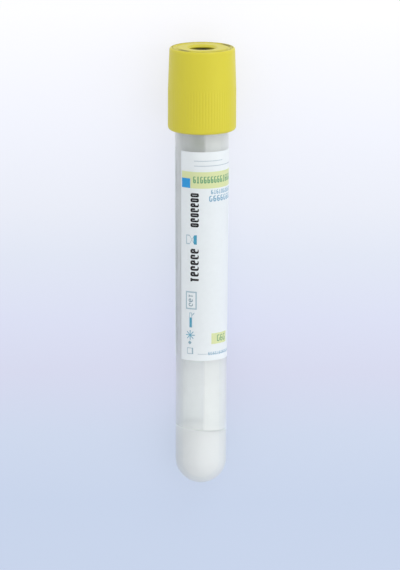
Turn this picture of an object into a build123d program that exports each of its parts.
"""Evacuated blood collection tube: a round-bottomed plastic tube with a thin film label and a plug of separator
gel in its closed end, stoppered by a rubber plug that is clipped into a moulded safety cap.

Millimetres. Each piece is drawn standing, with the tube's axis on Z, its closed end at Z = 0 and the side that
faces up at rest towards -Y. Placing the pieces lays them all down together, with the cap towards +Y.
"""

from build123d import *
import os
from math import acos, asin, atan2, cos, degrees, hypot, radians, sin

os.makedirs("parts", exist_ok=True)

# Tube: one moulding, straight in its lower stretch and opening slightly towards the mouth
TUBE_LENGTH = 100.0
BODY_DIAMETER = 12.3  # straight lower stretch and round end
MOUTH_DIAMETER = 13.0
DRAFT_START = 30.0  # height at which the straight stretch ends
TUBE_WALL = 1.0
RIM_ROUND = 0.3

# Separator gel: fills the round end
GEL_LEVEL = 13.75  # middle of its dished surface
GEL_DISH = 0.4  # rise of the surface from there to the wall
GEL_SLOPE = 5.5  # degrees by which the surface falls towards +X

# Label: film wrapped most of the way round, leaving a window over the contents
LABEL_THICKNESS = 0.06
LABEL_BOTTOM = 31.6
LABEL_HEIGHT = 51.0
WINDOW_WIDTH = 30.0  # degrees left bare
WINDOW_EDGE = -50.0  # degrees round from the upward side to the window's near edge

# Rubber stopper: a head and a flange either side of a neck, above a plug that seals in the bore
FLANGE_DIAMETER = 12.7
FLANGE_THICKNESS = 3.2
NECK_DIAMETER = 8.8
NECK_HEIGHT = 1.1
HEAD_DIAMETER = 10.4
HEAD_HEIGHT = 1.65
WELL_DIAMETER = 4.4  # target for the needle, in the head
WELL_DEPTH = 2.5
PLUG_DEPTH = 7.5  # how far the plug reaches into the tube
PLUG_RELIEF = 0.35  # gap to the bore between the sealing beads
BEAD_COUNT = 3
BEAD_WIDTH = 1.2
SEAL_CLEARANCE = 0.04  # running clearance of the beads in the bore
CUP_DIAMETER = 6.4  # hollow under the plug
CUP_DEPTH = 7.0
STOPPER_DRAFT = 0.5  # narrowing of the well and of the cup towards their ends
DOME_SHARE = 0.15  # of their depth that is a domed end
STOPPER_ROUND = 0.3

# Safety cap, outside: ribbed skirt, and a top with a shallow channel round the needle port
CAP_DIAMETER = 16.3
CAP_HEIGHT = 19.85
CAP_TAPER = 10.0  # height of the part that narrows towards the top
CAP_NARROWING = 0.35  # by which its radius is less at the top
CAP_SHOULDER = 0.6  # rounding at the top of the skirt
CAP_FOOT = 1.0  # rounding at its lower edge
RING_WIDTH = 0.8  # flat outside the channel
CHANNEL_DEPTH = 0.3
CHANNEL_FLOOR = 0.4
PLATEAU_DIAMETER = 11.8  # flat inside it, round the port
COUNTERSINK_WIDTH = 0.65
COUNTERSINK_DEPTH = 0.45
PORT_DIAMETER = 6.2

# Safety cap, inside: a collar with a ledge that snaps into the stopper's neck, moulded clear of the skirt
SKIRT_CLEARANCE = 0.45  # skirt to the tube's mouth
TOP_WALL = 0.85  # thickness round the port
CEILING_WALL = 1.0  # thickness between the channel and the slot beside the collar
COLLAR_WALL = 1.0
GRIP_CLEARANCE = 0.05  # collar and ledge to the stopper
LEDGE_LEAD = 0.35  # chamfer that the stopper's head snaps past

# Finger ribs: fine flutes down the skirt, running out where it narrows
FLUTE_COUNT = 72
FLUTE_DEPTH = 0.07
FLUTE_WIDTH = 0.36
FLUTE_FLOOR = 0.16

# What the sizes above lead to
END_RADIUS = BODY_DIAMETER / 2
BORE_END_RADIUS = END_RADIUS - TUBE_WALL
CAP_RADIUS = CAP_DIAMETER / 2
CAP_TOP_RADIUS = CAP_RADIUS - CAP_NARROWING
FLANGE_TOP = TUBE_LENGTH + FLANGE_THICKNESS
NECK_TOP = FLANGE_TOP + NECK_HEIGHT
HEAD_TOP = NECK_TOP + HEAD_HEIGHT
CAP_TOP = HEAD_TOP + TOP_WALL
CAP_BOTTOM = CAP_TOP - CAP_HEIGHT
PLUG_BOTTOM = TUBE_LENGTH - PLUG_DEPTH


def tube_radius(height):
    """Outside radius of the tube above its round end."""
    share = max(0.0, (height - DRAFT_START) / (TUBE_LENGTH - DRAFT_START))
    return END_RADIUS + share * (MOUTH_DIAMETER - BODY_DIAMETER) / 2


def bore_radius(height):
    return tube_radius(height) - TUBE_WALL


def turned(outline, angle=360):
    """Solid of revolution about Z, started at +X, from a closed outline drawn as radius against height."""
    return revolve(Plane.XZ * make_face(outline), Axis.Z, angle)


def rims(solid, radius):
    """The solid's circular edges of one radius."""
    circles = solid.edges().filter_by(GeomType.CIRCLE)
    return circles.filter_by(lambda edge: abs(edge.radius - radius) < 1e-4)


def dome(radius, edge, crown):
    """Arc about the axis, from a radius at the edge's height to the axis at the crown's height."""
    rise = crown - edge
    sphere = (radius**2 + rise**2) / (2 * abs(rise))
    half_turn = asin(radius / sphere) / 2
    way_up = 1 if rise > 0 else -1
    middle = (sphere * sin(half_turn), crown - way_up * sphere * (1 - cos(half_turn)))
    return ThreePointArc((radius, edge), middle, (0, crown))


def make_tube():
    outline = Curve() + [
        CenterArc((0, END_RADIUS), END_RADIUS, -90, 90),
        Polyline(
            (END_RADIUS, END_RADIUS),
            (END_RADIUS, DRAFT_START),
            (tube_radius(TUBE_LENGTH), TUBE_LENGTH),
            (bore_radius(TUBE_LENGTH), TUBE_LENGTH),
            (BORE_END_RADIUS, DRAFT_START),
            (BORE_END_RADIUS, END_RADIUS),
        ),
        CenterArc((0, END_RADIUS), BORE_END_RADIUS, -90, 90),
        Line((0, 0), (0, TUBE_WALL)),
    ]
    tube = turned(outline)
    mouth = tube.edges().filter_by(GeomType.CIRCLE).group_by(Axis.Z)[-1]
    return fillet(mouth, min(RIM_ROUND, 0.45 * TUBE_WALL))


def make_separator_gel():
    """Gel in the form of the bore, with its top cut by a sphere that stands off the axis by the slope."""
    slope = radians(GEL_SLOPE)
    brim = GEL_LEVEL + GEL_DISH + 2 * BORE_END_RADIUS * sin(slope)
    outline = Curve() + [
        CenterArc((0, END_RADIUS), BORE_END_RADIUS, -90, 90),
        Polyline((BORE_END_RADIUS, END_RADIUS), (BORE_END_RADIUS, brim), (0, brim), (0, TUBE_WALL)),
    ]
    bowl = (BORE_END_RADIUS**2 + GEL_DISH**2) / (2 * GEL_DISH)
    return turned(outline) - Pos(bowl * sin(slope), 0, GEL_LEVEL + bowl * cos(slope)) * Sphere(bowl)


def make_label():
    """Film on the outside of the tube, from one edge of the window round the back to the other."""
    top = LABEL_BOTTOM + LABEL_HEIGHT
    heights = [LABEL_BOTTOM, top]
    if LABEL_BOTTOM < DRAFT_START < top:
        heights.insert(1, DRAFT_START)
    inside = [(tube_radius(z), z) for z in heights]
    outside = [(r + LABEL_THICKNESS, z) for r, z in reversed(inside)]
    film = turned(Polyline(*inside, *outside, close=True), 360 - WINDOW_WIDTH)
    # the film is started a quarter turn round from the upward side
    return Rot(0, 0, WINDOW_EDGE - 90) * film


def plug_side():
    """Side of the plug, from the flange down: sealing beads between relieved stretches, then a lead-in."""
    pitch = PLUG_DEPTH / (BEAD_COUNT + 0.5)
    points = [(bore_radius(TUBE_LENGTH) - PLUG_RELIEF, TUBE_LENGTH)]
    for bead in range(BEAD_COUNT):
        middle = TUBE_LENGTH - (bead + 0.75) * pitch
        upper, lower = middle + BEAD_WIDTH / 2, middle - BEAD_WIDTH / 2
        crest = bore_radius(lower) - SEAL_CLEARANCE
        points += [
            (bore_radius(upper) - PLUG_RELIEF, upper),
            (crest, middle + BEAD_WIDTH / 5),
            (crest, middle - BEAD_WIDTH / 5),
            (bore_radius(lower) - PLUG_RELIEF, lower),
        ]
    end = bore_radius(PLUG_BOTTOM) - PLUG_RELIEF
    return [*points, (end, PLUG_BOTTOM + PLUG_RELIEF), (end - PLUG_RELIEF, PLUG_BOTTOM)]


def stopper_hollow(mouth, crown, radius):
    """Cutter for a hollow that narrows from its mouth to a domed end."""
    inner = radius - STOPPER_DRAFT
    edge = crown + (mouth - crown) * DOME_SHARE
    sides = Polyline((0, crown), (0, mouth), (radius, mouth), (inner, edge))
    return turned(Curve() + [sides, dome(inner, edge, crown)])


def make_rubber_stopper():
    body = turned(
        Polyline(
            (0, HEAD_TOP),
            (HEAD_DIAMETER / 2, HEAD_TOP),
            (HEAD_DIAMETER / 2, NECK_TOP),
            (NECK_DIAMETER / 2, NECK_TOP),
            (NECK_DIAMETER / 2, FLANGE_TOP),
            (FLANGE_DIAMETER / 2, FLANGE_TOP),
            (FLANGE_DIAMETER / 2, TUBE_LENGTH),
            *plug_side(),
            (0, PLUG_BOTTOM),
            close=True,
        )
    )
    for diameter, thickness in ((HEAD_DIAMETER, HEAD_HEIGHT), (FLANGE_DIAMETER, FLANGE_THICKNESS)):
        body = fillet(rims(body, diameter / 2), min(STOPPER_ROUND, 0.45 * thickness))
    well = stopper_hollow(HEAD_TOP, HEAD_TOP - WELL_DEPTH, WELL_DIAMETER / 2)
    cup = stopper_hollow(PLUG_BOTTOM, PLUG_BOTTOM + CUP_DEPTH, CUP_DIAMETER / 2)
    return body - well - cup


def cap_outline():
    """Half section of the cap, from the foot of the skirt up its outside, over the top and down inside."""
    ring_edge = CAP_TOP_RADIUS - RING_WIDTH
    channel = CAP_TOP - CHANNEL_DEPTH
    plateau_edge = PLATEAU_DIAMETER / 2
    slope = (ring_edge - plateau_edge - CHANNEL_FLOOR) / 2
    port = PORT_DIAMETER / 2
    skirt_bore = MOUTH_DIAMETER / 2 + SKIRT_CLEARANCE
    collar_bore = HEAD_DIAMETER / 2 + GRIP_CLEARANCE
    ledge_bore = NECK_DIAMETER / 2 + GRIP_CLEARANCE
    ledge_bottom = FLANGE_TOP + GRIP_CLEARANCE
    collar = collar_bore + COLLAR_WALL
    slot_top = channel - CEILING_WALL
    return Polyline(
        (CAP_RADIUS, CAP_BOTTOM),
        (CAP_RADIUS, CAP_TOP - CAP_TAPER),
        (CAP_TOP_RADIUS, CAP_TOP),
        (ring_edge, CAP_TOP),
        (ring_edge - slope, channel),
        (plateau_edge + slope, channel),
        (plateau_edge, CAP_TOP),
        (port + COUNTERSINK_WIDTH, CAP_TOP),
        (port, CAP_TOP - COUNTERSINK_DEPTH),
        (port, HEAD_TOP),
        (collar_bore, HEAD_TOP),
        (collar_bore, NECK_TOP - GRIP_CLEARANCE),
        (ledge_bore, NECK_TOP - GRIP_CLEARANCE),
        (ledge_bore, ledge_bottom + LEDGE_LEAD),
        (ledge_bore + LEDGE_LEAD, ledge_bottom),
        (collar, ledge_bottom),
        (collar, slot_top),
        (skirt_bore, slot_top),
        (skirt_bore, CAP_BOTTOM),
        close=True,
    )


def fluted_column():
    """Column that the cap is cut down to: each groove's floor, then the rib beside it, standing clear."""
    pitch = radians(360 / FLUTE_COUNT)
    floor = CAP_RADIUS - FLUTE_DEPTH
    spread = (FLUTE_WIDTH - FLUTE_FLOOR) / 2 / FLUTE_DEPTH
    clear = 4 * FLUTE_DEPTH
    corners = []
    for flute in range(FLUTE_COUNT):
        # the first groove faces down at rest, so that the cap lies on the two ribs beside it
        for across, out in (
            (-FLUTE_FLOOR / 2 - clear * spread, floor + clear),
            (-FLUTE_FLOOR / 2, floor),
            (FLUTE_FLOOR / 2, floor),
            (FLUTE_FLOOR / 2 + clear * spread, floor + clear),
        ):
            turn = flute * pitch + atan2(across, out)
            corners.append((-hypot(across, out) * sin(turn), hypot(across, out) * cos(turn)))
    column = make_face(Polyline(*corners, close=True))
    return Pos(0, 0, CAP_BOTTOM) * extrude(column, CAP_HEIGHT)


def make_cap():
    """Moulded safety cap: one turned shell, softened at its shoulder and foot, then fluted."""
    shell = turned(cap_outline())
    shell = fillet(rims(shell, CAP_TOP_RADIUS), min(CAP_SHOULDER, 0.9 * RING_WIDTH))
    shell = fillet(rims(shell, CAP_RADIUS).group_by(Axis.Z)[0], CAP_FOOT)
    return shell & fluted_column()


def lying():
    """Placement on a flat surface, touching it with the tube's round end and two ribs of the cap's foot."""
    rib_radius = CAP_RADIUS * cos(atan2(FLUTE_WIDTH / 2, CAP_RADIUS)) - CAP_FOOT
    rib_height = CAP_BOTTOM + CAP_FOOT - END_RADIUS
    reach = hypot(rib_radius, rib_height)
    tilt = acos((END_RADIUS - CAP_FOOT) / reach) - atan2(rib_height, rib_radius)
    end_centre = Pos(0, 0, -END_RADIUS)
    return Pos(0, 0, END_RADIUS) * Rot(degrees(tilt) - 90, 0, 0) * end_centre


pieces = {
    "tube": make_tube(),
    "separator_gel": make_separator_gel(),
    "label": make_label(),
    "rubber_stopper": make_rubber_stopper(),
    "cap": make_cap(),
}
laid = {name: lying() * piece for name, piece in pieces.items()}
extent = Compound(list(laid.values())).bounding_box()
to_origin = Pos(-extent.center().X, -extent.center().Y, -extent.min.Z)
for name, piece in laid.items():
    export_step(to_origin * piece, f"parts/{name}.step")
